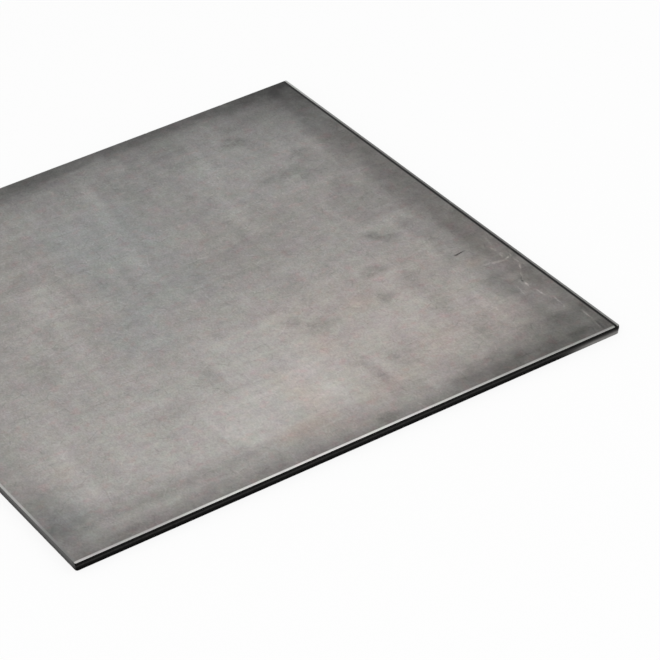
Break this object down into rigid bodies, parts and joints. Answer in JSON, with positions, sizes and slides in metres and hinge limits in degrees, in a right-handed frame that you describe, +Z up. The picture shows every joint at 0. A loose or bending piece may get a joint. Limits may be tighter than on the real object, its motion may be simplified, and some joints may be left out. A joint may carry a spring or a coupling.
{
  "type": "steel plate",
  "caption": "Flat square plate of bare mild steel with sheared edges: raw stock to cut, drill, bend, bolt down or weld.",
  "frame": {"origin": "centre of the bottom face, which lies on the floor", "axes": "+Z up, out of the top face; +X and +Y along the sides, with the rolling streaks along Y"},
  "size_m": [0.3, 0.3, 0.005],
  "materials": {
    "steel": "dull grey mill finish, lightly mottled, with fine rolling streaks, darker margins and bright worn arrises"
  },
  "bodies": {
    "root": {"steel_plate": "steel"}
  },
  "joints": []
}
